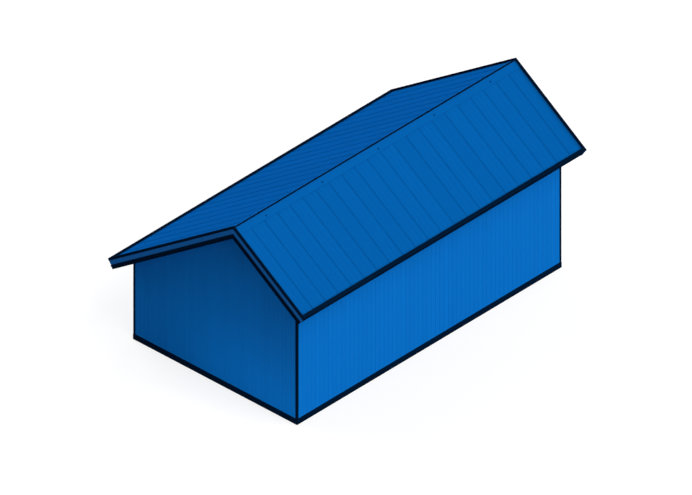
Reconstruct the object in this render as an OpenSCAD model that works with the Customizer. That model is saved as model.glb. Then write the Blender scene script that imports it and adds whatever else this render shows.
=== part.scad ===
// Saltbox barn: framed walls under plain cladding, and a two-slope roof with its ridge off centre.
// Millimetres. X runs across the barn, Y along the ridge and Z up. The origin is on the ground at
// the middle of the footprint. The front gable faces -Y, the low side is -X and the high side is +X.

/* [Footprint] */
// Width over the cladding, across the ridge
barn_w = 7200; // [6000:50:8600]
// Length over the cladding, along the ridge
barn_l = 12400; // [9000:50:16000]

/* [Walls] */
// Height of the roof underside at the outer face of the low side wall
low_eave_h = 3150; // [2400:50:4000]
// Thickness of the framed wall behind the cladding
frame_t = 120; // [90:5:200]
// Thickness of the cladding boards
cladding_t = 22; // [16:1:30]

/* [Base and corners] */
// Height of the base board
base_board_h = 220; // [120:10:300]
// How far the base board stands proud of the cladding
base_board_proud = 18; // [8:1:30]
// Width of each leg of a corner board
corner_board_w = 65; // [50:5:150]
// How far the corner board stands proud of the cladding
corner_board_proud = 12; // [6:1:25]

/* [Roof] */
// Pitch of both slopes, in degrees
roof_pitch = 34.5; // [25:0.5:42]
// Distance of the ridge from the centre line, towards the high side
ridge_offset = 1200; // [600:50:1800]
// Depth of the rafters with their boarding
deck_t = 225; // [160:5:300]
// Thickness of the roof covering, with its seams
roofing_t = 12; // [8:1:40]
// Thickness of the ridge board between the two slopes
ridge_board_t = 40; // [30:2:80]
// How far the roof covering reaches past a side wall, measured level
eave_overhang = 720; // [450:10:900]
// How far the barge boards reach past a gable wall
verge_overhang = 450; // [250:10:600]

/* [Roof edges] */
// Thickness of the eave fascias
fascia_t = 28; // [20:1:40]
// How far a fascia reaches below the rafters
fascia_drop = 30; // [20:2:60]
// Thickness of the barge boards
barge_t = 28; // [20:1:40]
// How far a barge board reaches below the rafters
barge_drop = 90; // [40:5:140]
// Height of the moulding along the foot of a barge board
moulding_h = 150; // [60:5:220]
// Thickness of that moulding
moulding_t = 25; // [12:1:40]
// Thickness of the soffit boards
soffit_t = 18; // [12:1:28]

/* [Flashings] */
// Thickness of the folded flashings
flashing_t = 4; // [3:0.5:8]
// How far the edge flashings stand above the roof covering
flashing_rise = 60; // [15:1:80]
// How far the edge flashings lap down over the barge boards and fascias
flashing_lap = 12; // [8:1:40]
// Width of a verge flashing on the roof
verge_flashing_w = 70; // [50:5:160]
// Width of an eave flashing on the roof
eave_flashing_w = 130; // [80:5:260]
// Width of the ridge cap down each slope
ridge_cap_w = 140; // [90:5:220]
// Diameter of the roll along the ridge
ridge_roll_d = 56; // [40:2:80]

/* [Hidden] */

// Sides and ends: the sign of the axis on which a piece lies.
LEFT = -1;
RIGHT = 1;
FRONT = -1;
BACK = 1;

half_w = barn_w / 2;
half_l = barn_l / 2;
// Outer faces of the framed walls, which the cladding is fixed to
frame_x = half_w - cladding_t;
frame_y = half_l - cladding_t;
// Outer face of the barge boards, and their inner face, where the roof deck ends
verge_y = half_l + verge_overhang;
deck_y = verge_y - barge_t;
// Height of the roof underside where the two slopes meet
apex_z = low_eave_h + (half_w + ridge_offset) * tan(roof_pitch);
// Heights above the roof underside, square to a slope
roofing_top = deck_t + roofing_t;
flashing_top = roofing_top + flashing_rise;
flashing_foot = deck_t - flashing_lap;
// Inner edges of the verge flashings, between which the ridge cap and the eave flashings lie
inner_verge_y = verge_y - verge_flashing_w;

paint_blue = "#0566bd";
roof_blue = "#055fae";
trim_dark = "#04182b";
timber = "#b08d62";

// Height of a plane that lies n above the roof underside, at the given x.
function roof_z(x, n = 0) = apex_z + n / cos(roof_pitch) - abs(x - ridge_offset) * tan(roof_pitch);

// Distance down a slope, from the ridge line, of the upright plane that lies run from the ridge.
function down_slope(run, n) = (run - n * sin(roof_pitch)) / cos(roof_pitch);

// Distance down a slope of the outer face of its fascia, which lies square to the slope. The top
// edge of the flashing there reaches the eave overhang.
function eave_s(side) =
    down_slope(half_w + eave_overhang - side * ridge_offset, flashing_top) - flashing_t;

// A point on the section across the barn, from its distance down a slope and its height n.
function slope_point(side, s, n) = [
    ridge_offset + side * (s * cos(roof_pitch) + n * sin(roof_pitch)),
    apex_z - s * sin(roof_pitch) + n * cos(roof_pitch)
];

// A prism with its section across the barn, given as [x, z] points, from y_from to y_to.
module across(points, y_from, y_to)
    translate([0, y_to, 0])
        rotate([90, 0, 0])
            linear_extrude(y_to - y_from) polygon(points);

// Lays its children on one slope, where +X runs down the slope from the ridge line and +Z is the
// height above the roof underside.
module slope_frame(side)
    translate([ridge_offset, 0, apex_z])
        mirror([side == LEFT ? 1 : 0, 0, 0])
            rotate([0, roof_pitch, 0])
                children();

// A prism along the barn on one slope, with the section given as [distance down the slope, height
// above the roof underside] points.
module on_slope(side, points, y_from, y_to)
    slope_frame(side) across(points, y_from, y_to);

// A board on one slope between two heights, cut square at s_to and upright at run_from from the
// ridge.
module slope_board(side, n_from, n_to, s_to, y_from, y_to, run_from = 0)
    on_slope(side, [
        [down_slope(run_from, n_from), n_from], [s_to, n_from],
        [s_to, n_to], [down_slope(run_from, n_to), n_to],
    ], y_from, y_to);

// A strip on one slope with both edges square to it.
module slope_strip(side, n_from, n_to, s_from, s_to, y_from, y_to)
    on_slope(side, [[s_from, n_from], [s_to, n_from], [s_to, n_to], [s_from, n_to]], y_from, y_to);

// Copies the children of the front end to the back end, where end is BACK.
module at_end(end)
    mirror([0, end == BACK ? 1 : 0, 0]) children();

// A slab across the front of the barn from z_from up to n above the roof underside. It lies
// between two distances from the middle of the barn.
module gable_slab(reach, z_from, y_inner, y_outer, n = 0)
    across([
        [-reach, z_from], [reach, z_from], [reach, roof_z(reach, n)],
        [ridge_offset, roof_z(ridge_offset, n)], [-reach, roof_z(-reach, n)],
    ], -y_outer, -y_inner);

// A slab along one side, as high as the roof underside, between two distances from the middle.
module side_slab(side, x_inner, x_outer, z_from, reach)
    across([
        [side * x_inner, z_from], [side * x_outer, z_from],
        [side * x_outer, roof_z(side * x_outer)], [side * x_inner, roof_z(side * x_inner)],
    ], -reach, reach);

module gable_wall(end)
    color(timber) at_end(end) gable_slab(frame_x, 0, frame_y - frame_t, frame_y);

module side_wall(side)
    color(timber) side_slab(side, frame_x - frame_t, frame_x, 0, frame_y - frame_t);

module gable_cladding(end)
    color(paint_blue) at_end(end)
        gable_slab(half_w - corner_board_w, base_board_h, frame_y, half_l);

module side_cladding(side)
    color(paint_blue) side_slab(side, frame_x, half_w, base_board_h, half_l - corner_board_w);

module gable_base_board(end)
    color(trim_dark) at_end(end)
        translate([-half_w - base_board_proud, -half_l - base_board_proud, 0])
            cube([
                barn_w + 2 * base_board_proud, cladding_t + base_board_proud, base_board_h
            ]);

module side_base_board(side)
    color(trim_dark)
        translate([side == LEFT ? -half_w - base_board_proud : frame_x, -frame_y, 0])
            cube([cladding_t + base_board_proud, 2 * frame_y, base_board_h]);

// An angle of two boards round a corner of the frame, from the base board up to the soffits.
module corner_board(side, end) {
    inner_x = half_w - corner_board_w;
    outer_x = half_w + corner_board_proud;
    inner_y = half_l - corner_board_w;
    outer_y = half_l + corner_board_proud;
    color(trim_dark) at_end(end) intersection() {
        linear_extrude(apex_z)
            polygon([
                [side * frame_x, -inner_y], [side * outer_x, -inner_y],
                [side * outer_x, -outer_y], [side * inner_x, -outer_y],
                [side * inner_x, -frame_y], [side * frame_x, -frame_y],
            ]);
        gable_slab(outer_x + 1, base_board_h, inner_y - 1, outer_y + 1, -soffit_t);
    }
}

module roof_deck(side)
    color(timber)
        slope_board(side, 0, deck_t, eave_s(side) - fascia_t, -deck_y, deck_y, ridge_board_t / 2);

module ridge_board() {
    half_t = ridge_board_t / 2;
    shoulder_z = roof_z(ridge_offset + half_t, deck_t);
    color(timber)
        across([
            [ridge_offset - half_t, apex_z], [ridge_offset + half_t, apex_z],
            [ridge_offset + half_t, shoulder_z], [ridge_offset, roof_z(ridge_offset, deck_t)],
            [ridge_offset - half_t, shoulder_z],
        ], -deck_y, deck_y);
}

module roofing(side)
    color(roof_blue)
        slope_board(side, deck_t, roofing_top, eave_s(side), -verge_y, verge_y);

module ridge_cap() {
    top = roofing_top + flashing_t;
    color(roof_blue)
        across([
            slope_point(LEFT, ridge_cap_w, roofing_top), slope_point(LEFT, ridge_cap_w, top),
            [ridge_offset, roof_z(ridge_offset, top)],
            slope_point(RIGHT, ridge_cap_w, top), slope_point(RIGHT, ridge_cap_w, roofing_top),
            [ridge_offset, roof_z(ridge_offset, roofing_top)],
        ], -inner_verge_y, inner_verge_y);
}

// A roll seated on the two flanges of the ridge cap.
module ridge_roll() {
    seat = roofing_top + flashing_t;
    seat_z = roof_z(ridge_offset, seat);
    color(trim_dark)
        difference() {
            translate([ridge_offset, inner_verge_y, seat_z])
                rotate([90, 0, 0])
                    cylinder(d = ridge_roll_d, h = 2 * inner_verge_y, $fn = 32);
            across([
                [ridge_offset, seat_z],
                [ridge_offset + ridge_roll_d, roof_z(ridge_offset + ridge_roll_d, seat)],
                [ridge_offset, seat_z - 2 * ridge_roll_d],
                [ridge_offset - ridge_roll_d, roof_z(ridge_offset - ridge_roll_d, seat)],
            ], -inner_verge_y - 1, inner_verge_y + 1);
        }
}

module fascia(side)
    color(trim_dark)
        slope_strip(side, -fascia_drop, deck_t, eave_s(side) - fascia_t, eave_s(side),
            -deck_y, deck_y);

module barge_board(side, end)
    color(paint_blue) at_end(end)
        slope_board(side, -barge_drop, deck_t, eave_s(side), -verge_y, -deck_y);

module barge_moulding(side, end)
    color(trim_dark) at_end(end)
        slope_board(side, -barge_drop, moulding_h - barge_drop, eave_s(side),
            -verge_y - moulding_t, -verge_y);

module eave_soffit(side)
    color(paint_blue)
        slope_board(side, -soffit_t, 0, eave_s(side) - fascia_t, -deck_y, deck_y,
            half_w - side * ridge_offset);

module verge_soffit(side, end) {
    run = half_w - side * ridge_offset;
    color(paint_blue) at_end(end)
        on_slope(side, [
            [down_slope(0, -soffit_t), -soffit_t], [down_slope(run, -soffit_t), -soffit_t],
            [down_slope(run, 0), 0], [0, 0],
        ], -deck_y, -half_l);
}

// A folded channel over the lower edge of the covering: an inner leg on the covering, a top leg
// and an outer leg down the fascia. It lies between the two verge flashings.
module eave_flashing(side) {
    edge_s = eave_s(side);
    inner_s = edge_s + flashing_t - eave_flashing_w;
    outer_s = edge_s + flashing_t;
    top_leg = flashing_top - flashing_t;
    color(trim_dark)
        on_slope(side, [
            [inner_s, roofing_top], [inner_s, flashing_top], [outer_s, flashing_top],
            [outer_s, flashing_foot], [edge_s, flashing_foot], [edge_s, top_leg],
            [inner_s + flashing_t, top_leg], [inner_s + flashing_t, roofing_top],
        ], -inner_verge_y, inner_verge_y);
}

// The same channel along a verge, with a plate over its lower end. It is cut upright where it
// meets its neighbour at the ridge.
module verge_flashing(side, end) {
    outer_y = verge_y + flashing_t;
    top_leg = flashing_top - flashing_t;
    color(trim_dark) at_end(end)
        intersection() {
            slope_frame(side) translate([eave_s(side), 0, 0]) {
                translate([-2 * barn_w, 0, 0])
                    rotate([90, 0, 90])
                        linear_extrude(2 * barn_w)
                            polygon([
                                [-inner_verge_y, roofing_top], [-inner_verge_y, flashing_top],
                                [-outer_y, flashing_top], [-outer_y, flashing_foot],
                                [-verge_y, flashing_foot], [-verge_y, top_leg],
                                [-inner_verge_y - flashing_t, top_leg],
                                [-inner_verge_y - flashing_t, roofing_top],
                            ]);
                translate([0, -outer_y, flashing_foot])
                    cube([
                        flashing_t, verge_flashing_w + flashing_t, flashing_top - flashing_foot
                    ]);
            }
            translate([ridge_offset - (side == LEFT ? 2 * barn_w : 0), -barn_l, 0])
                cube([2 * barn_w, barn_l, 2 * apex_z]);
        }
}

gable_wall(FRONT);  // front_wall
gable_wall(BACK);  // back_wall
side_wall(LEFT);  // left_wall
side_wall(RIGHT);  // right_wall
gable_cladding(FRONT);  // front_cladding
gable_cladding(BACK);  // back_cladding
side_cladding(LEFT);  // left_cladding
side_cladding(RIGHT);  // right_cladding
gable_base_board(FRONT);  // front_base_board
gable_base_board(BACK);  // back_base_board
side_base_board(LEFT);  // left_base_board
side_base_board(RIGHT);  // right_base_board
corner_board(LEFT, FRONT);  // front_left_corner_board
corner_board(RIGHT, FRONT);  // front_right_corner_board
corner_board(LEFT, BACK);  // back_left_corner_board
corner_board(RIGHT, BACK);  // back_right_corner_board
roof_deck(LEFT);  // left_roof_deck
roof_deck(RIGHT);  // right_roof_deck
ridge_board();
roofing(LEFT);  // left_roofing
roofing(RIGHT);  // right_roofing
ridge_cap();
ridge_roll();
fascia(LEFT);  // left_fascia
fascia(RIGHT);  // right_fascia
barge_board(LEFT, FRONT);  // front_left_barge_board
barge_board(RIGHT, FRONT);  // front_right_barge_board
barge_board(LEFT, BACK);  // back_left_barge_board
barge_board(RIGHT, BACK);  // back_right_barge_board
barge_moulding(LEFT, FRONT);  // front_left_barge_moulding
barge_moulding(RIGHT, FRONT);  // front_right_barge_moulding
barge_moulding(LEFT, BACK);  // back_left_barge_moulding
barge_moulding(RIGHT, BACK);  // back_right_barge_moulding
eave_soffit(LEFT);  // left_eave_soffit
eave_soffit(RIGHT);  // right_eave_soffit
verge_soffit(LEFT, FRONT);  // front_left_verge_soffit
verge_soffit(RIGHT, FRONT);  // front_right_verge_soffit
verge_soffit(LEFT, BACK);  // back_left_verge_soffit
verge_soffit(RIGHT, BACK);  // back_right_verge_soffit
eave_flashing(LEFT);  // left_eave_flashing
eave_flashing(RIGHT);  // right_eave_flashing
verge_flashing(LEFT, FRONT);  // front_left_verge_flashing
verge_flashing(RIGHT, FRONT);  // front_right_verge_flashing
verge_flashing(LEFT, BACK);  // back_left_verge_flashing
verge_flashing(RIGHT, BACK);  // back_right_verge_flashing
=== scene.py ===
"""The looks of the saltbox barn: painted boards, trim, soffits, metal sheets and folded flashings.

Metres, in the frame's axes: X across the barn, Y along the ridge and Z up. The front gable faces
-Y, the low side is -X and the high side is +X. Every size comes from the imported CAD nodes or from
the named values below.
"""

import math
import random

import bmesh
import bpy
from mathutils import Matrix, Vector


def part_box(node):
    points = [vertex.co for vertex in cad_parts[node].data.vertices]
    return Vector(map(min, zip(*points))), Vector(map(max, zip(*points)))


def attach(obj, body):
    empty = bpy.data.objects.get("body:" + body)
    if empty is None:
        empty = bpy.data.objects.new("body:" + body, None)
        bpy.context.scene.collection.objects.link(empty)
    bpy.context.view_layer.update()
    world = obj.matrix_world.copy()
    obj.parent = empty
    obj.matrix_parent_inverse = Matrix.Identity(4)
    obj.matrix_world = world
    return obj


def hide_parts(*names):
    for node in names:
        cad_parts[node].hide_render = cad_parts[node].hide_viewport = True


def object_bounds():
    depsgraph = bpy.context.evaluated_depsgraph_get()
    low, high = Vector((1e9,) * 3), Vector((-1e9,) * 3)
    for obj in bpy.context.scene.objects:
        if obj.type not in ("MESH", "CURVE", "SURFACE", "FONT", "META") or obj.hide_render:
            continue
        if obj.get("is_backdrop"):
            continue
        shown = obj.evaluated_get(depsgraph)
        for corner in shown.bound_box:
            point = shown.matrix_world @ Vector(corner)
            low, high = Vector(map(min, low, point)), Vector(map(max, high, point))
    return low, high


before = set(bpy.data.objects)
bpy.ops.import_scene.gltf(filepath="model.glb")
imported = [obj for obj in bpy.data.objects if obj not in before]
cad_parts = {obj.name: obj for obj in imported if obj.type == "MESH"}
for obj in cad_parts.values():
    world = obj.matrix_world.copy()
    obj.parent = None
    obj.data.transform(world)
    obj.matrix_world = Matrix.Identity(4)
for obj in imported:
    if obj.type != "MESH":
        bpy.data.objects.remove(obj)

cad_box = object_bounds()

BODY = "root"
# The sides and ends of the barn, with the sign of the axis on which each lies.
SIDES = {"left": -1, "right": 1}
ENDS = {"front": -1, "back": 1}
X_AXIS, Y_AXIS, Z_AXIS = Vector((1, 0, 0)), Vector((0, 1, 0)), Vector((0, 0, 1))

# ---- The roof, as the CAD nodes set it ------------------------------------------------------

RIDGE_X = sum(corner.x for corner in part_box("ridge_board")) / 2
APEX_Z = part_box("ridge_board")[0].z
low_wall_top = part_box("left_wall")[1]
PITCH = math.atan2(APEX_Z - low_wall_top.z, RIDGE_X - low_wall_top.x)
COS, SIN, TAN = math.cos(PITCH), math.sin(PITCH), math.tan(PITCH)


# A point on a slope has s, its distance down from the ridge line, y, and n, its height square to
# the slope above the roof underside.
def peak_n(node):
    """The n of a node's highest face, for a node that reaches the ridge line."""
    return (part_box(node)[1].z - APEX_Z) * COS


def foot_n(node, s):
    """The n of a node's lowest edge, which lies at s."""
    return (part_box(node)[0].z - APEX_Z + s * SIN) / COS


def far_s(node, n):
    """The s of a left node's furthest edge, which lies at n."""
    return (RIDGE_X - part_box(node)[0].x - n * SIN) / COS


def roof_z(x, n=0.0):
    """The height above the ground of the plane at n over the given x."""
    return APEX_Z + n / COS - abs(x - RIDGE_X) * TAN


DECK_N = peak_n("ridge_board")
COVER_N = peak_n("left_roofing")
CAP_N = peak_n("ridge_cap")
EDGE_N = peak_n("front_left_verge_flashing")
MOULDING_N = peak_n("front_left_barge_moulding")

VERGE_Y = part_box("left_roofing")[1].y
DECK_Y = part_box("left_roof_deck")[1].y
CAP_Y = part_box("ridge_cap")[1].y
VERGE_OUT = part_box("back_left_verge_flashing")[1].y
MOULDING_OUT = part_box("back_left_barge_moulding")[1].y

CAP_S = (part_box("ridge_cap")[1].x - RIDGE_X - CAP_N * SIN) / COS
LEFT_EAVE_S = far_s("left_roofing", COVER_N)
FASCIA_T = LEFT_EAVE_S - far_s("left_roof_deck", DECK_N)
FLASHING_T = far_s("left_eave_flashing", EDGE_N) - LEFT_EAVE_S
FLASHING_W = FLASHING_T + LEFT_EAVE_S - (RIDGE_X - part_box("left_eave_flashing")[1].x
                                         - COVER_N * SIN) / COS
FASCIA_N = foot_n("left_fascia", LEFT_EAVE_S)
BARGE_N = foot_n("front_left_barge_board", LEFT_EAVE_S)
LAP_N = foot_n("left_eave_flashing", LEFT_EAVE_S + FLASHING_T)
SOFFIT_N = foot_n("left_eave_soffit", LEFT_EAVE_S - FASCIA_T)

# ---- The walls, as the CAD nodes set them ---------------------------------------------------

end_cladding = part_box("back_cladding")
side_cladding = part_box("right_cladding")
HALF_W, HALF_L = side_cladding[1].x, end_cladding[1].y
FRAME_X, FRAME_Y = side_cladding[0].x, end_cladding[0].y
CORNER_X, CORNER_Y = end_cladding[1].x, side_cladding[1].y
BASE_Z = end_cladding[0].z
CLADDING_T = HALF_W - FRAME_X
BASE_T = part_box("right_base_board")[1].x - FRAME_X
CORNER_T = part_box("back_right_corner_board")[1].x - FRAME_X


def wall_run(side):
    """The level distance from the ridge line to the outer face of a side wall."""
    return HALF_W - SIDES[side] * RIDGE_X


def eave_s(side):
    """The s of the outer face of a fascia."""
    return LEFT_EAVE_S - (wall_run("left") - wall_run(side)) / COS


# ---- Sizes of the boards, sheets and fixings ------------------------------------------------

# About how wide each board is, and the depth of its V joints
WALL_BOARD_W, WALL_JOINT = 0.20, 0.005
SOFFIT_BOARD_W, SOFFIT_JOINT = 0.105, 0.004
# How much thinner than the CAD cladding a board may be
BOARD_UNEVEN = 0.0008
# The rails that the cladding is nailed to: the first one's height above the base board, and how
# far apart they are
RAIL_FIRST, RAIL_STEP = 0.30, 0.82
# About how long each trim board is, how much is taken off its edges, and the gap at a joint
TRIM_LENGTH, TRIM_EDGE, TRIM_GAP = 4.3, 0.0025, 0.0015
# The nose at the edge of a base board's sloped top: its depth, and how far below the board's top
# it ends, as a share of the whole slope
NOSE_T, NOSE_DROP = 0.002, 0.7

NAIL_R, NAIL_H, NAIL_STEP = 0.0045, 0.0012, 0.6
# How far nails lie from the edge of a barge board or a fascia, and from a fascia's foot
NAIL_INSET, FOOT_NAIL_INSET = 0.03, 0.04
# How far nails lie from the edges of a cladding board, as a share of its width, and up a base
# board, as shares of its height
CLADDING_NAIL_SHARE = 0.22
BASE_NAIL_SHARES = (0.25, 0.65)
# The rings of a nail or rivet head, as shares of its radius and its height
HEAD_RINGS = ((1, 0), (0.8, 0.75))
HEAD_SIDES = 8

# About how wide each roof sheet is, and its thickness
PAN_W, SHEET_T = 0.60, 0.002
# A seam's width, and the height of its head and the easing of the head's edges
SEAM_W, SEAM_HEAD, SEAM_EDGE = 0.008, 0.0055, 0.002
SWAGE_W, SWAGE_H, SWAGE_STEPS = 0.026, 0.003, 6
# About how long each flashing is, its thickness, and the outer radius of its folds
METAL_LENGTH, METAL_T, METAL_BEND = 3.0, 0.0018, 0.005
FOLD_STEPS = 3
# How far the end plate of a verge flashing lies inside the channel
PLATE_INSET = 0.0025
# The sleeve over each joint of a flashing or the ridge roll
SLEEVE_W, SLEEVE_T = 0.07, 0.001
RIVET_R, RIVET_H = 0.006, 0.002
# How far rivets lie from the edge of the ridge cap and from the end of a strap
CAP_RIVET_INSET, STRAP_RIVET_INSET = 0.03, 0.015
ROLL_LENGTH, ROLL_STEPS = 2.4, 28
# A strap over the ridge roll, and how far down the slope it reaches
STRAP_W, STRAP_REACH = 0.035, 0.07

# A barge moulding's section. Shares of its depth: the bead's radius, the hollow's foot and head,
# how far it dips between them, and where the rounded top ends
BEAD, HOLLOW_FOOT, HOLLOW_HEAD, HOLLOW_DIP, TOP_END = 0.3, 0.62, 0.95, 0.27, 0.25
# Shares of its height at which the hollow stops and the rounded top starts
HOLLOW_STOP, TOP_START = 0.72, 0.76
# Where the hollow starts, in radii of the bead
HOLLOW_START = 2.2
ARC_STEPS, HOLLOW_STEPS = 6, 8

# The longest shift of one board's grain against another's, and the tone of a nail or rivet
GRAIN_SHIFT, MIDDLE_TONE = 40, 0.5

# Faces that meet at less than this angle are shaded as one smooth surface
SMOOTH_ANGLE = math.radians(32)


# ---- Local frames ---------------------------------------------------------------------------

class Place:
    """A local frame: an origin and three axes, called with (u, v, w) to give a point."""

    def __init__(self, origin, u_axis, v_axis, w_axis):
        self.origin, self.axes = Vector(origin), (u_axis, v_axis, w_axis)

    def __call__(self, u, v, w):
        return self.origin + self.axes[0] * u + self.axes[1] * v + self.axes[2] * w


def slope_axes(side):
    """The unit vectors down a slope and square up from it."""
    return Vector((SIDES[side] * COS, 0, -SIN)), Vector((SIDES[side] * SIN, 0, COS))


def down_place(side):
    """(s, y, n): for what runs down a slope."""
    down, up = slope_axes(side)
    return Place((RIDGE_X, 0, APEX_Z), down, Y_AXIS, up)


def along_place(side):
    """(y, s, n): for what runs along the barn on a slope."""
    down, up = slope_axes(side)
    return Place((RIDGE_X, 0, APEX_Z), Y_AXIS, down, up)


def verge_place(side, end):
    """(s, n, out): for what runs down a verge, with out measured from the barge board's face."""
    down, up = slope_axes(side)
    return Place((RIDGE_X, ENDS[end] * VERGE_Y, APEX_Z), down, up, Y_AXIS * ENDS[end])


def wall_axes(wall):
    """The direction along a wall, its outward direction, and how far out its framed face is."""
    if wall in ENDS:
        return X_AXIS, Y_AXIS * ENDS[wall], FRAME_Y
    return Y_AXIS, X_AXIS * SIDES[wall], FRAME_X


def upright_place(wall):
    """(z, along, out): for what stands on a wall."""
    along, out, reach = wall_axes(wall)
    return Place(out * reach, Z_AXIS, along, out)


def level_place(wall):
    """(along, z, out): for what runs level on a wall."""
    along, out, reach = wall_axes(wall)
    return Place(out * reach, along, Z_AXIS, out)


# ---- Making a piece -------------------------------------------------------------------------

class Piece:
    """Many solids that become one object. Each point keeps its place along the grain of its own
    board, and each solid a tone of its own, for the materials to read."""

    def __init__(self, name):
        self.name = name
        self.points, self.faces = [], []
        self.grain, self.tone = [], []
        self.chance = random.Random(name)

    def point(self, place, u, v, w, shift=0.0, tone=MIDDLE_TONE):
        self.points.append(place(u, v, w))
        self.grain.append((u + shift, v, w))
        self.tone.append(tone)

    def prism(self, place, section, start, stop):
        """Draws a closed section of (v, w) points along u. start and stop are numbers, or
        functions of a point's (v, w)."""
        first, count = len(self.points), len(section)
        shift, tone = self.chance.uniform(0, GRAIN_SHIFT), self.chance.random()
        for limit in (start, stop):
            for v, w in section:
                u = limit(v, w) if callable(limit) else limit
                self.point(place, u, v, w, shift, tone)
        for i in range(count):
            j = (i + 1) % count
            self.faces.append((first + i, first + j, first + count + j, first + count + i))
        self.faces.append(tuple(first + i for i in reversed(range(count))))
        self.faces.append(tuple(first + count + i for i in range(count)))

    def head(self, place, u, v, w, radius, height):
        """A low domed nail or rivet head, standing on the surface at w. It lies in the plane of
        u and v."""
        base = len(self.points)
        ring, top = base + HEAD_SIDES, base + 2 * HEAD_SIDES
        for share, rise in HEAD_RINGS:
            for i in range(HEAD_SIDES):
                turn = math.tau * i / HEAD_SIDES
                reach = radius * share
                self.point(place, u + reach * math.cos(turn), v + reach * math.sin(turn),
                           w + height * rise)
        self.point(place, u, v, w + height)
        for i in range(HEAD_SIDES):
            j = (i + 1) % HEAD_SIDES
            self.faces.append((base + i, base + j, ring + j, ring + i))
            self.faces.append((ring + i, ring + j, top))
        self.faces.append(tuple(reversed(range(base, ring))))

    def make(self, material, slot, *nodes):
        """Turns the solids into an object that rides on the barn and stands for the CAD nodes."""
        mesh = bpy.data.meshes.new(self.name)
        mesh.from_pydata(self.points, [], self.faces)
        grain = mesh.attributes.new("grain", "FLOAT_VECTOR", "POINT")
        grain.data.foreach_set("vector", [x for vector in self.grain for x in vector])
        tone = mesh.attributes.new("tone", "FLOAT", "POINT")
        tone.data.foreach_set("value", self.tone)
        work = bmesh.new()
        work.from_mesh(mesh)
        bmesh.ops.recalc_face_normals(work, faces=work.faces)
        work.to_mesh(mesh)
        work.free()
        mesh.shade_smooth()
        mesh.set_sharp_from_angle(angle=SMOOTH_ANGLE)
        mesh.materials.append(material)
        made = bpy.data.objects.new(self.name, mesh)
        bpy.context.scene.collection.objects.link(made)
        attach(made, BODY)
        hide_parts(*nodes)


def even(start, stop, size):
    """Splits a stretch into equal parts of about the given size, of which the last ends at stop."""
    count = max(1, round((stop - start) / size))
    edges = [start + (stop - start) * i / count for i in range(count)] + [stop]
    return list(zip(edges, edges[1:]))


def steps(start, stop, size):
    """Evenly spaced places, half a step in from both ends."""
    return [(a + b) / 2 for a, b in even(start, stop, size)]


def eased(v0, w0, v1, w1, edge=TRIM_EDGE):
    """A board's section with its four edges taken off."""
    return [
        (v0 + edge, w0), (v1 - edge, w0), (v1, w0 + edge), (v1, w1 - edge),
        (v1 - edge, w1), (v0 + edge, w1), (v0, w1 - edge), (v0, w0 + edge),
    ]


def arc(centre, reach, start, stop, count):
    """Points along part of an ellipse, where reach holds its half axes."""
    turns = [start + (stop - start) * i / count for i in range(count + 1)]
    return [(centre[0] + reach[0] * math.cos(turn), centre[1] + reach[1] * math.sin(turn))
            for turn in turns]


def folded(path, thickness, bend):
    """The closed section of a thin sheet with square folds along a path of (v, w) points. Each
    fold is rounded, and the sheet lies on the side towards which the path turns."""
    outer, inner = [], []
    path = [Vector(at) for at in path]
    turn = math.copysign(1, (path[1] - path[0]).cross(path[2] - path[1]))
    # The direction square to each stretch of the path in which the sheet lies. At the path's two
    # ends, which have no fold, into and out_of are the same.
    sides = [Vector((a.y - b.y, b.x - a.x)).normalized() * turn for a, b in zip(path, path[1:])]
    for at, into, out_of in zip(path, [sides[0]] + sides, sides + [sides[-1]]):
        if into is out_of:
            outer.append(at)
            inner.append(at + into * thickness)
            continue
        centre = at + (into + out_of) * bend
        for k in range(FOLD_STEPS + 1):
            swing = math.pi / 2 * k / FOLD_STEPS
            mixed = into * math.cos(swing) + out_of * math.sin(swing)
            outer.append(centre - mixed * bend)
            inner.append(centre - mixed * (bend - thickness))
    return [tuple(p) for p in outer] + [tuple(p) for p in reversed(inner)]


# ---- Walls ----------------------------------------------------------------------------------

def board_section(v0, v1, face, joint):
    """A matched board: its back is at 0 and its face at w = face, with a V joint each side."""
    shoulder = face - math.copysign(joint, face)
    return [
        (v0, 0), (v1, 0), (v1, shoulder), (v1 - joint, face), (v0 + joint, face), (v0, shoulder),
    ]


def cladding(wall, material):
    """Upright matched boards, nailed to the rails of the frame."""
    piece = Piece(f"{wall}_boards")
    place = upright_place(wall)
    if wall in ENDS:
        stretches = [(-CORNER_X, RIDGE_X), (RIDGE_X, CORNER_X)]
    else:
        stretches = [(-CORNER_Y, CORNER_Y)]

    def top(v, w):
        return roof_z(v if wall in ENDS else SIDES[wall] * (FRAME_X + w))

    for low, high in stretches:
        for v0, v1 in even(low, high, WALL_BOARD_W):
            face = CLADDING_T - piece.chance.uniform(0, BOARD_UNEVEN)
            piece.prism(place, board_section(v0, v1, face, WALL_JOINT), BASE_Z, top)
            inset = (v1 - v0) * CLADDING_NAIL_SHARE
            for v in (v0 + inset, v1 - inset):
                z = BASE_Z + RAIL_FIRST
                while z < top(v, face) - RAIL_FIRST / 2:
                    piece.head(place, z, v, face, NAIL_R, NAIL_H)
                    z += RAIL_STEP
    piece.make(material, "wall_cladding", f"{wall}_cladding")


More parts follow.
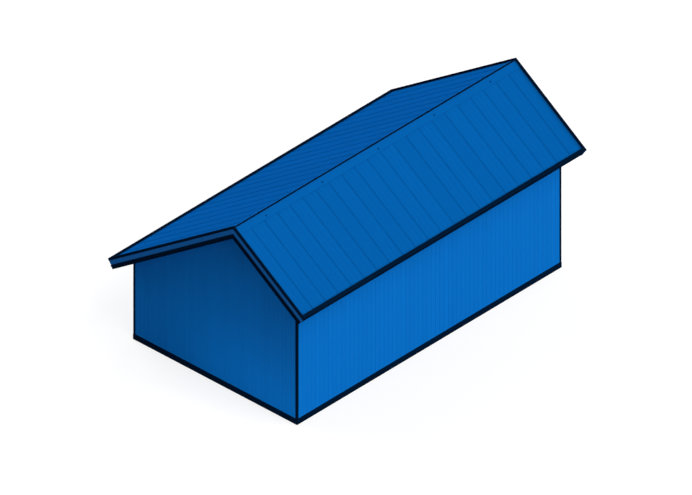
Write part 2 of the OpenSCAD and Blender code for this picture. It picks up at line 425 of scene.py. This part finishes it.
def base_board(wall, material):
    """A board round the foot of a wall, with its top edge sloped to shed water."""
    piece = Piece(f"{wall}_base")
    place = level_place(wall)
    reach = FRAME_X + BASE_T if wall in ENDS else FRAME_Y
    fall = BASE_T - CLADDING_T
    nose = (BASE_Z - fall * NOSE_DROP, BASE_T - NOSE_T)
    section = [
        (0, 0), (0, BASE_T), (BASE_Z - fall, BASE_T), nose, (BASE_Z, CLADDING_T), (BASE_Z, 0),
    ]
    for a, b in even(-reach, reach, TRIM_LENGTH):
        piece.prism(place, section, a + TRIM_GAP / 2, b - TRIM_GAP / 2)
        for u in steps(a, b, NAIL_STEP):
            for share in BASE_NAIL_SHARES:
                piece.head(place, u, BASE_Z * share, BASE_T, NAIL_R, NAIL_H)
    piece.make(material, "dark_trim", f"{wall}_base_board")


def corner_board(end, side, material):
    """Two boards that meet at a corner of the barn, cut to the slope under the soffit."""
    name = f"{end}_{side}_corner"
    piece = Piece(name)
    x_sign, y_sign = SIDES[side], ENDS[end]
    place = Place((0, 0, 0), Z_AXIS, X_AXIS * x_sign, Y_AXIS * y_sign)
    out_x, out_y = FRAME_X + CORNER_T, FRAME_Y + CORNER_T

    def top(v, w):
        return roof_z(x_sign * v, SOFFIT_N)

    piece.prism(place, eased(CORNER_X, FRAME_Y, out_x, out_y), BASE_Z, top)
    piece.prism(place, eased(FRAME_X, CORNER_Y, out_x, FRAME_Y), BASE_Z, top)
    end_face, side_face = upright_place(end), upright_place(side)
    for z in steps(BASE_Z, top(out_x, out_y), NAIL_STEP):
        piece.head(end_face, z, x_sign * (CORNER_X + out_x) / 2, CORNER_T, NAIL_R, NAIL_H)
        piece.head(side_face, z, y_sign * (CORNER_Y + FRAME_Y) / 2, CORNER_T, NAIL_R, NAIL_H)
    piece.make(material, "dark_trim", f"{name}_board")


# ---- Roof edges -----------------------------------------------------------------------------

def plumb(v, w):
    """The s at which a piece on a verge is cut upright at the ridge, where v is its n."""
    return TRIM_GAP / 2 - v * TAN


def verge_lengths(side):
    """Start and stop of each length of board down a verge, the first cut upright."""
    pieces = even(0, eave_s(side), TRIM_LENGTH)
    return [(a + TRIM_GAP / 2 if a else plumb, b - (TRIM_GAP / 2 if b < eave_s(side) else 0))
            for a, b in pieces]


def barge_board(end, side, material):
    """The board that closes a verge."""
    name = f"{end}_{side}_barge"
    piece = Piece(name)
    place = verge_place(side, end)
    section = eased(BARGE_N, DECK_Y - VERGE_Y, DECK_N, 0)
    for start, stop in verge_lengths(side):
        piece.prism(place, section, start, stop)
    for s in steps(0, eave_s(side), NAIL_STEP):
        for n in (MOULDING_N + NAIL_INSET, LAP_N - NAIL_INSET):
            piece.head(place, s, n, 0, NAIL_R, NAIL_H)
    piece.make(material, "painted_trim", f"{name}_board")


def moulding_section():
    """A crown moulding on its back: a bead at the foot, a hollow and a rounded top edge."""
    depth, height = MOULDING_OUT - VERGE_Y, MOULDING_N - BARGE_N
    radius = BEAD * depth
    bead = arc((BARGE_N + radius, depth - radius), (radius, radius), math.pi, 0, ARC_STEPS)
    start, stop = HOLLOW_START * radius, HOLLOW_STOP * height
    hollow = []
    for i in range(HOLLOW_STEPS + 1):
        share = i / HOLLOW_STEPS
        reach = HOLLOW_FOOT + (HOLLOW_HEAD - HOLLOW_FOOT) * share
        reach -= HOLLOW_DIP * math.sin(math.pi * share)
        hollow.append((BARGE_N + start + (stop - start) * share, depth * reach))
    top_centre = (BARGE_N + TOP_START * height, TOP_END * depth)
    top_reach = ((1 - TOP_START) * height, (HOLLOW_HEAD - TOP_END) * depth)
    top = arc(top_centre, top_reach, math.pi / 2, 0, ARC_STEPS)
    return [(BARGE_N, 0), *bead, *hollow, *top, (MOULDING_N, 0)]


def barge_moulding(end, side, material):
    """The moulding along the foot of a barge board."""
    piece = Piece(f"{end}_{side}_moulding")
    for start, stop in verge_lengths(side):
        piece.prism(verge_place(side, end), moulding_section(), start, stop)
    piece.make(material, "dark_trim", f"{end}_{side}_barge_moulding")


def fascia(side, material):
    """The board that closes an eave."""
    piece = Piece(f"{side}_fascia_boards")
    place = along_place(side)
    edge = eave_s(side)
    section = eased(edge - FASCIA_T, FASCIA_N, edge, DECK_N)
    down, up = slope_axes(side)
    face = Place(place(0, edge, 0), Y_AXIS, up, down)
    for a, b in even(-DECK_Y, DECK_Y, TRIM_LENGTH):
        piece.prism(place, section, a + TRIM_GAP / 2, b - TRIM_GAP / 2)
        for y in steps(a, b, NAIL_STEP):
            for n in (FASCIA_N + FOOT_NAIL_INSET, DECK_N / 2, LAP_N - NAIL_INSET):
                piece.head(face, y, n, 0, NAIL_R, NAIL_H)
    piece.make(material, "dark_trim", f"{side}_fascia")


def verge_soffit(end, side, material):
    """Matched boards that run down under a verge."""
    name = f"{end}_{side}_verge_soffit"
    piece = Piece(f"{name}_boards")
    place = down_place(side)

    def ridge_cut(v, w):
        return -w * TAN

    def wall_cut(v, w):
        return (wall_run(side) - w * SIN) / COS

    for a, b in even(HALF_L, DECK_Y, SOFFIT_BOARD_W):
        y0, y1 = sorted((a * ENDS[end], b * ENDS[end]))
        section = board_section(y0, y1, SOFFIT_N, SOFFIT_JOINT)
        piece.prism(place, section, ridge_cut, wall_cut)
    piece.make(material, "painted_trim", name)


def eave_soffit(side, material):
    """Matched boards that run along under an eave, with their butt joints staggered. The first
    one's edge is cut upright, against the wall."""
    piece = Piece(f"{side}_eave_soffit_boards")
    place = along_place(side)
    rows = even(wall_run(side) / COS, eave_s(side) - FASCIA_T, SOFFIT_BOARD_W)
    for row, (s0, s1) in enumerate(rows):
        section = board_section(s0, s1, SOFFIT_N, SOFFIT_JOINT)
        if row == 0:
            section = [(s - w * TAN if s < (s0 + s1) / 2 else s, w) for s, w in section]
        middle = TRIM_LENGTH / 2 * (row % 2)
        for a, b in even(-DECK_Y, middle, TRIM_LENGTH) + even(middle, DECK_Y, TRIM_LENGTH):
            piece.prism(place, section, a + TRIM_GAP / 2, b - TRIM_GAP / 2)
    piece.make(material, "painted_trim", f"{side}_eave_soffit")


# ---- Roof metal -----------------------------------------------------------------------------

def pan_section(y0, y1):
    """A sheet lying on the deck, with two shallow swages that stiffen it."""
    top = DECK_N + SHEET_T
    points = [(y0, DECK_N), (y0, top)]
    for middle in (y0 + (y1 - y0) / 3, y1 - (y1 - y0) / 3):
        for i in range(SWAGE_STEPS + 1):
            share = i / SWAGE_STEPS
            rise = SWAGE_H * (1 - math.cos(math.tau * share)) / 2
            points.append((middle + SWAGE_W * (share - 0.5), top + rise))
    return points + [(y1, top), (y1, DECK_N)]


def seam_section(y):
    """A folded seam: an upright web with a rounded head."""
    web, head = SEAM_W / 4, SEAM_W / 2
    neck, top = COVER_N - SEAM_HEAD, COVER_N
    half = [
        (web, DECK_N), (web, neck), (head, neck + SEAM_EDGE / 2), (head, top - SEAM_EDGE),
        (head - SEAM_EDGE, top),
    ]
    return [(y + a, n) for a, n in half] + [(y - a, n) for a, n in reversed(half)]


def roof_sheets(side, material):
    """Metal sheets from ridge to eave, joined by low folded seams."""
    piece = Piece(f"{side}_roof_sheets")
    place = down_place(side)
    edge = eave_s(side)
    pans = even(-VERGE_Y, VERGE_Y, PAN_W)
    for y0, y1 in pans:
        piece.prism(place, pan_section(y0, y1), 0, edge)
    for y0, _ in pans[1:]:
        piece.prism(place, seam_section(y0), 0, edge)
    piece.make(material, "roof_covering", f"{side}_roofing")


def flashing_lengths(piece, place, section, start, stop, square_start):
    """Lengths of folded flashing with a sleeve over each joint. section gives the outline for an
    inset from the outer face. A start that isn't square is cut upright at the ridge."""
    for a, b in even(start, stop, METAL_LENGTH):
        piece.prism(place, section(SLEEVE_T), a if a > start or square_start else plumb, b)
        if b < stop:
            piece.prism(place, section(0), b - SLEEVE_W / 2, b + SLEEVE_W / 2)


def eave_flashing(side, material):
    """A folded channel over the ends of the sheets, down the face of the fascia."""
    piece = Piece(f"{side}_eave_edge")
    place = along_place(side)
    out_s = eave_s(side) + FLASHING_T
    in_s = out_s - FLASHING_W

    def section(inset):
        path = [
            (in_s + inset, DECK_N + SHEET_T), (in_s + inset, EDGE_N - inset),
            (out_s - inset, EDGE_N - inset), (out_s - inset, LAP_N),
        ]
        return folded(path, METAL_T, METAL_BEND)

    flashing_lengths(piece, place, section, -CAP_Y, CAP_Y, square_start=True)
    for y in steps(-CAP_Y, CAP_Y, NAIL_STEP):
        piece.head(place, y, (in_s + out_s) / 2, EDGE_N - SLEEVE_T, RIVET_R, RIVET_H)
    piece.make(material, "dark_metal", f"{side}_eave_flashing")


def verge_flashing(end, side, material):
    """A folded channel along a verge, down the face of the barge board, closed at its foot."""
    name = f"{end}_{side}_verge"
    piece = Piece(f"{name}_edge")
    place = verge_place(side, end)
    out, back = VERGE_OUT - VERGE_Y, CAP_Y - VERGE_Y

    def section(inset):
        path = [
            (DECK_N + SHEET_T, back + inset), (EDGE_N - inset, back + inset),
            (EDGE_N - inset, out - inset), (LAP_N, out - inset),
        ]
        return folded(path, METAL_T, METAL_BEND)

    stop = eave_s(side) + FLASHING_T
    flashing_lengths(piece, place, section, 0, stop, square_start=False)
    end_plate = eased(LAP_N, back + PLATE_INSET, EDGE_N - PLATE_INSET, out - PLATE_INSET, SLEEVE_T)
    piece.prism(place, end_plate, eave_s(side), stop - SLEEVE_T)
    middle_y = ENDS[end] * (VERGE_Y + (out + back) / 2)
    for s in steps(0, stop, NAIL_STEP):
        piece.head(down_place(side), s, middle_y, EDGE_N - SLEEVE_T, RIVET_R, RIVET_H)
    piece.make(material, "dark_metal", f"{name}_flashing")


def ridge_cap(material):
    """Folded flanges down both slopes under the roll, turned down on to the sheets."""
    piece = Piece("ridge_flanges")
    for side in SIDES:
        place = along_place(side)

        def section(inset):
            path = [
                (-CAP_N * TAN, CAP_N - inset), (CAP_S - inset, CAP_N - inset),
                (CAP_S - inset, DECK_N + SHEET_T),
            ]
            return folded(path, METAL_T, METAL_BEND)

        flashing_lengths(piece, place, section, -CAP_Y, CAP_Y, square_start=True)
        for y in steps(-VERGE_Y, VERGE_Y, PAN_W):
            if abs(y) < CAP_Y:
                piece.head(place, y, CAP_S - CAP_RIVET_INSET, CAP_N - SLEEVE_T, RIVET_R, RIVET_H)
    piece.make(material, "roof_covering", "ridge_cap")


def ridge_roll(material):
    """A round roll along the ridge in lengths, with collars at its joints and straps between."""
    piece = Piece("ridge_rolls")
    low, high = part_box("ridge_roll")
    radius = (high.x - low.x) / 2
    centre_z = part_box("ridge_cap")[1].z
    place = Place((RIDGE_X, 0, centre_z), Y_AXIS, X_AXIS, Z_AXIS)

    def sector(reach):
        """The part of a disc that lies above both flanges."""
        return [(0, 0), *arc((0, 0), (reach, reach), -PITCH, math.pi + PITCH, ROLL_STEPS)]

    tab = eased(0, CAP_N, STRAP_REACH, CAP_N + METAL_T, METAL_T / 3)
    rivet_s = STRAP_REACH - STRAP_RIVET_INSET
    for a, b in even(-CAP_Y, CAP_Y, ROLL_LENGTH):
        piece.prism(place, sector(radius - 2 * SLEEVE_T), a, b)
        strap = (a + b) / 2
        piece.prism(place, sector(radius - SLEEVE_T), strap - STRAP_W / 2, strap + STRAP_W / 2)
        for side in SIDES:
            flange = along_place(side)
            piece.prism(flange, tab, strap - STRAP_W / 2, strap + STRAP_W / 2)
            piece.head(flange, strap, rivet_s, CAP_N + METAL_T, RIVET_R, RIVET_H)
        if b < CAP_Y:
            piece.prism(place, sector(radius), b - SLEEVE_W / 2, b + SLEEVE_W / 2)
    piece.make(material, "dark_metal", "ridge_roll")


# ---- Materials ------------------------------------------------------------------------------

# The colour sockets of a Mix node, whose names other sockets share: both inputs and the output
MIX_FIRST, MIX_SECOND, MIX_RESULT = 6, 7, 2


class Look:
    """A material built from nodes round one Principled shader."""

    def __init__(self, name, specular, metallic=0.0, tint=(1, 1, 1)):
        self.material = bpy.data.materials.new(name)
        self.material.use_nodes = True
        self.tree = self.material.node_tree
        self.tree.nodes.clear()
        self.shader = self.add("ShaderNodeBsdfPrincipled")
        self.set(self.shader, {
            "Specular IOR Level": specular, "Metallic": metallic, "Specular Tint": (*tint, 1),
        })
        output = self.add("ShaderNodeOutputMaterial")
        self.tree.links.new(self.shader.outputs["BSDF"], output.inputs["Surface"])

    def add(self, kind, **settings):
        node = self.tree.nodes.new(kind)
        for name, value in settings.items():
            setattr(node, name, value)
        return node

    def set(self, node, values):
        """Sets a node's inputs: an output socket is linked, and anything else is a constant."""
        for name, value in values.items():
            if isinstance(value, bpy.types.NodeSocket):
                self.tree.links.new(value, node.inputs[name])
            else:
                node.inputs[name].default_value = value
        return node

    def attribute(self, name, output):
        return self.add("ShaderNodeAttribute", attribute_name=name).outputs[output]

    def place(self):
        """The point in the barn's own frame."""
        return self.add("ShaderNodeTexCoord").outputs["Object"]

    def noise(self, coordinates, stretch, detail, roughness=0.55):
        """Noise with the given number of features in a metre along each axis."""
        mapping = self.set(self.add("ShaderNodeMapping"), {"Vector": coordinates, "Scale": stretch})
        made = self.set(self.add("ShaderNodeTexNoise"), {
            "Vector": mapping.outputs["Vector"], "Scale": 1.0, "Detail": detail,
            "Roughness": roughness,
        })
        return made.outputs["Fac"]

    def spread(self, value, low, high, start=0.3, stop=0.7):
        """Maps a value between start and stop on to the range from low to high."""
        made = self.set(self.add("ShaderNodeMapRange"), {
            "Value": value, "From Min": start, "From Max": stop, "To Min": low, "To Max": high,
        })
        return made.outputs["Result"]

    def total(self, *values):
        """The sum of several sockets."""
        running = values[0]
        for value in values[1:]:
            made = self.add("ShaderNodeMath", operation="ADD")
            self.tree.links.new(running, made.inputs[0])
            self.tree.links.new(value, made.inputs[1])
            running = made.outputs[0]
        return running

    def mix(self, factor, first, second):
        """A colour between two, each a colour or a socket."""
        made = self.add("ShaderNodeMix", data_type="RGBA")
        self.tree.links.new(factor, made.inputs["Factor"])
        for index, value in ((MIX_FIRST, first), (MIX_SECOND, second)):
            if isinstance(value, bpy.types.NodeSocket):
                self.tree.links.new(value, made.inputs[index])
            else:
                made.inputs[index].default_value = (*value, 1)
        return made.outputs[MIX_RESULT]

    def bump(self, height, distance, strength, under=None):
        """The surface's normal, bent by a height and starting from another bump's, if given."""
        values = {"Height": height, "Distance": distance, "Strength": strength}
        if under is not None:
            values["Normal"] = under
        return self.set(self.add("ShaderNodeBump"), values).outputs["Normal"]


def scaled(colour, share):
    return tuple(channel * share for channel in colour)


def painted_boards(name, colour, vary, roughness, gloss):
    """Brushed paint on sawn boards: each board has its own tone, and the grain shows through."""
    look = Look(name, **gloss)
    grain = look.attribute("grain", "Vector")
    streaks = look.noise(grain, stretch=(1.5, 60, 60), detail=5)
    brush = look.noise(grain, stretch=(6, 380, 380), detail=2)
    patches = look.noise(look.place(), stretch=(0.5, 0.5, 0.35), detail=3)
    tone = look.total(
        look.spread(streaks, low=-0.35, high=0.35), look.attribute("tone", "Fac"),
        look.spread(patches, low=-0.4, high=0.4),
    )
    grained = look.bump(streaks, distance=0.002, strength=0.5)
    look.set(look.shader, {
        "Base Color": look.mix(look.spread(tone, low=0, high=1, start=-0.4, stop=1.4),
                               scaled(colour, 1 - vary), scaled(colour, 1 + vary)),
        "Roughness": look.spread(streaks, low=roughness + 0.06, high=roughness - 0.06),
        "Normal": look.bump(brush, distance=0.0006, strength=0.45, under=grained),
    })
    return look.material


def painted_metal(name, colour, vary, roughness, gloss):
    """Coated sheet: slightly wavy between its seams, with faint run-off streaks."""
    look = Look(name, **gloss)
    grain = look.attribute("grain", "Vector")
    streaks = look.noise(grain, stretch=(0.5, 14, 14), detail=4)
    waves = look.noise(grain, stretch=(1.3, 2.6, 2.6), detail=1)
    peel = look.noise(look.place(), stretch=(900, 900, 900), detail=1)
    tone = look.total(look.spread(streaks, low=-0.3, high=0.3), look.attribute("tone", "Fac"))
    wavy = look.bump(waves, distance=0.012, strength=0.25)
    look.set(look.shader, {
        "Base Color": look.mix(look.spread(tone, low=0, high=1, start=-0.3, stop=1.3),
                               scaled(colour, 1 - vary), scaled(colour, 1 + vary)),
        "Roughness": look.spread(streaks, low=roughness - 0.05, high=roughness + 0.07),
        "Normal": look.bump(peel, distance=0.0002, strength=0.2, under=wavy),
    })
    return look.material


def bare_timber(name, colour):
    """Planed softwood, seen only from inside the barn."""
    look = Look(name, specular=0.4)
    rings = look.noise(look.place(), stretch=(3, 3, 26), detail=6, roughness=0.6)
    fine = look.noise(look.place(), stretch=(40, 40, 300), detail=3)
    ringed = look.mix(look.spread(rings, low=0, high=1), scaled(colour, 0.7), scaled(colour, 1.2))
    look.set(look.shader, {
        "Base Color": look.mix(look.spread(fine, low=0, high=0.3), ringed, scaled(colour, 0.5)),
        "Roughness": look.spread(fine, low=0.55, high=0.75),
        "Normal": look.bump(fine, distance=0.001, strength=0.4),
    })
    return look.material


WALL_BLUE = (0.0018, 0.150, 0.535)
# The roof's blue is the wall's blue made darker: painted shade, so that the roof, which takes more
# light than the side wall under these lamps, shows darker than the wall.
ROOF_BLUE_PAINTED_SHADE = (0.0012, 0.085, 0.303)
# The barge blue is the wall's blue made darker and a little greyer: painted shade, which brings the
# barge boards, lit more than the gable beneath its overhang, down to the gable's level. The soffits
# share it.
BARGE_BLUE_PAINTED_SHADE = (0.0080, 0.120, 0.420)
NAVY = (0.0008, 0.0075, 0.023)
TIMBER = (0.43, 0.27, 0.12)

# The gloss is weak and tinted, so that white light from the surround doesn't pale the blues where
# a surface is seen edge on.
PAINT_GLOSS = {"specular": 0.02, "tint": (0.05, 0.3, 1.0)}
METAL_GLOSS = {"specular": 0.0, "metallic": 0.2, "tint": (0.01, 0.22, 0.8)}
DARK_GLOSS = {"specular": 0.0, "metallic": 0.12, "tint": (0.03, 0.14, 0.35)}

wall_paint = painted_boards("wall_paint", WALL_BLUE, vary=0.04, roughness=0.55, gloss=PAINT_GLOSS)
# The barge boards and the soffits carry the barge blue with its painted shade.
trim_paint_painted_shade = painted_boards("trim_paint_painted_shade", BARGE_BLUE_PAINTED_SHADE, vary=0.05, roughness=0.5, gloss=PAINT_GLOSS)
dark_paint = painted_boards("dark_paint", NAVY, vary=0.15, roughness=0.5, gloss=DARK_GLOSS)
# The roof sheets and the ridge flanges carry the roof blue with its painted shade.
roof_coating_painted_shade = painted_metal("roof_coating_painted_shade", ROOF_BLUE_PAINTED_SHADE, vary=0.04, roughness=0.5, gloss=METAL_GLOSS)
dark_coating = painted_metal("dark_coating", NAVY, vary=0.12, roughness=0.5, gloss=DARK_GLOSS)
timber = bare_timber("timber", TIMBER)

# ---- The barn -------------------------------------------------------------------------------

for wall in (*ENDS, *SIDES):
    cladding(wall, wall_paint)
    base_board(wall, dark_paint)
for side in SIDES:
    roof_sheets(side, roof_coating_painted_shade)
    fascia(side, dark_paint)
    eave_soffit(side, trim_paint_painted_shade)
    eave_flashing(side, dark_coating)
    for end in ENDS:
        corner_board(end, side, dark_paint)
        barge_board(end, side, trim_paint_painted_shade)
        barge_moulding(end, side, dark_paint)
        verge_soffit(end, side, trim_paint_painted_shade)
        verge_flashing(end, side, dark_coating)
ridge_cap(roof_coating_painted_shade)
ridge_roll(dark_coating)

TIMBER_NODES = (
    "front_wall", "back_wall", "left_wall", "right_wall",
    "left_roof_deck", "right_roof_deck", "ridge_board",
)
for name in TIMBER_NODES:
    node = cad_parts[name]
    node.data.materials.clear()
    node.data.materials.append(timber)

# ---- Camera, light and floor ----------------------------------------------------------------

VIEW_WIDTH = 22.245
VIEW_AZIMUTH, VIEW_ELEVATION = math.radians(43.18), math.radians(34.09)
VIEW_DISTANCE, VIEW_REACH = 60, 400
# The point looked at: a height over the origin, then moved across and down the picture
LOOK_HEIGHT, LOOK_RIGHT, LOOK_DOWN = 3.385, -0.043, 1.018


def make_camera():
    """Looks down on the front gable and the high side, without perspective."""
    a, e = VIEW_AZIMUTH, VIEW_ELEVATION
    back = Vector((math.sin(a) * math.cos(e), -math.cos(a) * math.cos(e), math.sin(e)))
    right = Vector((math.cos(a), math.sin(a), 0))
    aim = Z_AXIS * LOOK_HEIGHT + right * LOOK_RIGHT - back.cross(right) * LOOK_DOWN
    data = bpy.data.cameras.new("camera")
    data.type = "ORTHO"
    data.ortho_scale = VIEW_WIDTH
    data.clip_end = VIEW_REACH
    camera = bpy.data.objects.new("camera", data)
    camera.location = aim + back * VIEW_DISTANCE
    camera.rotation_euler = back.to_track_quat("Z", "Y").to_euler()
    bpy.context.scene.collection.objects.link(camera)
    bpy.context.scene.camera = camera


def make_sun(name, azimuth, elevation, level, spread):
    """A broad lamp from the given direction, in degrees. Azimuth runs from +X towards +Y. A white
    surface that faces it takes the given share of full brightness from it."""
    a, e = math.radians(azimuth), math.radians(elevation)
    data = bpy.data.lights.new(name, "SUN")
    data.energy = level * math.pi
    data.angle = math.radians(spread)
    lamp = bpy.data.objects.new(name, data)
    towards = Vector((math.cos(a) * math.cos(e), math.sin(a) * math.cos(e), math.sin(e)))
    lamp.rotation_euler = towards.to_track_quat("Z", "Y").to_euler()
    bpy.context.scene.collection.objects.link(lamp)


def make_strip(name, x, away, z, size, power):
    """A long lamp near the ground that faces the front gable, at the given distance from it."""
    data = bpy.data.lights.new(name, "AREA")
    data.shape = "RECTANGLE"
    data.size, data.size_y = size
    data.energy = power
    lamp = bpy.data.objects.new(name, data)
    lamp.location = (x, -HALF_L - away, z)
    lamp.rotation_euler = (-Y_AXIS).to_track_quat("Z", "Y").to_euler()
    lamp.visible_camera = False
    bpy.context.scene.collection.objects.link(lamp)


def white_where_seen(tree):
    """A value that is 1 for what the camera sees, straight or by reflection or transmission."""
    rays = tree.nodes.new("ShaderNodeLightPath").outputs
    seen = rays["Is Camera Ray"]
    for name in ("Is Glossy Ray", "Is Transmission Ray"):
        larger = tree.nodes.new("ShaderNodeMath")
        larger.operation = "MAXIMUM"
        tree.links.new(seen, larger.inputs[0])
        tree.links.new(rays[name], larger.inputs[1])
        seen = larger.outputs[0]
    return seen


SKY_LEVEL = 0.21
# The floor's colour for the light it throws back, and the light it adds only where it is seen
FLOOR_WHITE, FLOOR_GLOW = 0.30, 0.74
FLOOR_REACH = 300


def make_world():
    """A plain white surround that lights the barn gently."""
    world = bpy.data.worlds.new("surround")
    bpy.context.scene.world = world
    world.use_nodes = True
    tree = world.node_tree
    background = tree.nodes["Background"]
    background.inputs["Color"].default_value = (1, 1, 1, 1)
    strength = tree.nodes.new("ShaderNodeMapRange")
    tree.links.new(white_where_seen(tree), strength.inputs["Value"])
    strength.inputs["To Min"].default_value = SKY_LEVEL
    strength.inputs["To Max"].default_value = 1
    tree.links.new(strength.outputs["Result"], background.inputs["Strength"])


def make_floor():
    """A white floor that keeps the barn's soft shadow."""
    mesh = bpy.data.meshes.new("floor")
    reach = FLOOR_REACH
    corners = [(-reach, -reach, 0), (reach, -reach, 0), (reach, reach, 0), (-reach, reach, 0)]
    mesh.from_pydata(corners, [], [(0, 1, 2, 3)])
    material = bpy.data.materials.new("floor")
    material.use_nodes = True
    tree = material.node_tree
    tree.nodes.clear()
    output = tree.nodes.new("ShaderNodeOutputMaterial")
    diffuse = tree.nodes.new("ShaderNodeBsdfDiffuse")
    diffuse.inputs["Color"].default_value = (FLOOR_WHITE, FLOOR_WHITE, FLOOR_WHITE, 1)
    glow = tree.nodes.new("ShaderNodeEmission")
    strength = tree.nodes.new("ShaderNodeMath")
    strength.operation = "MULTIPLY"
    tree.links.new(white_where_seen(tree), strength.inputs[0])
    strength.inputs[1].default_value = FLOOR_GLOW
    tree.links.new(strength.outputs[0], glow.inputs["Strength"])
    both = tree.nodes.new("ShaderNodeAddShader")
    tree.links.new(diffuse.outputs["BSDF"], both.inputs[0])
    tree.links.new(glow.outputs["Emission"], both.inputs[1])
    tree.links.new(both.outputs["Shader"], output.inputs["Surface"])
    mesh.materials.append(material)
    floor = bpy.data.objects.new("floor", mesh)
    bpy.context.scene.collection.objects.link(floor)
    floor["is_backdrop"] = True


make_camera()
make_world()
make_floor()
make_sun("key", azimuth=9, elevation=37, level=0.89, spread=68)
make_sun("low_side_fill", azimuth=178, elevation=30, level=0.68, spread=60)
make_sun("back_fill", azimuth=92, elevation=20, level=0.46, spread=60)
make_strip("gable_fill", x=2.6, away=2.8, z=0.35, size=(6.0, 0.4), power=37)

bpy.context.scene.view_settings.view_transform = "Standard"

sizes = {"cad": cad_box, "visual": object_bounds()}
{name: [list(corner) for corner in box] for name, box in sizes.items()}
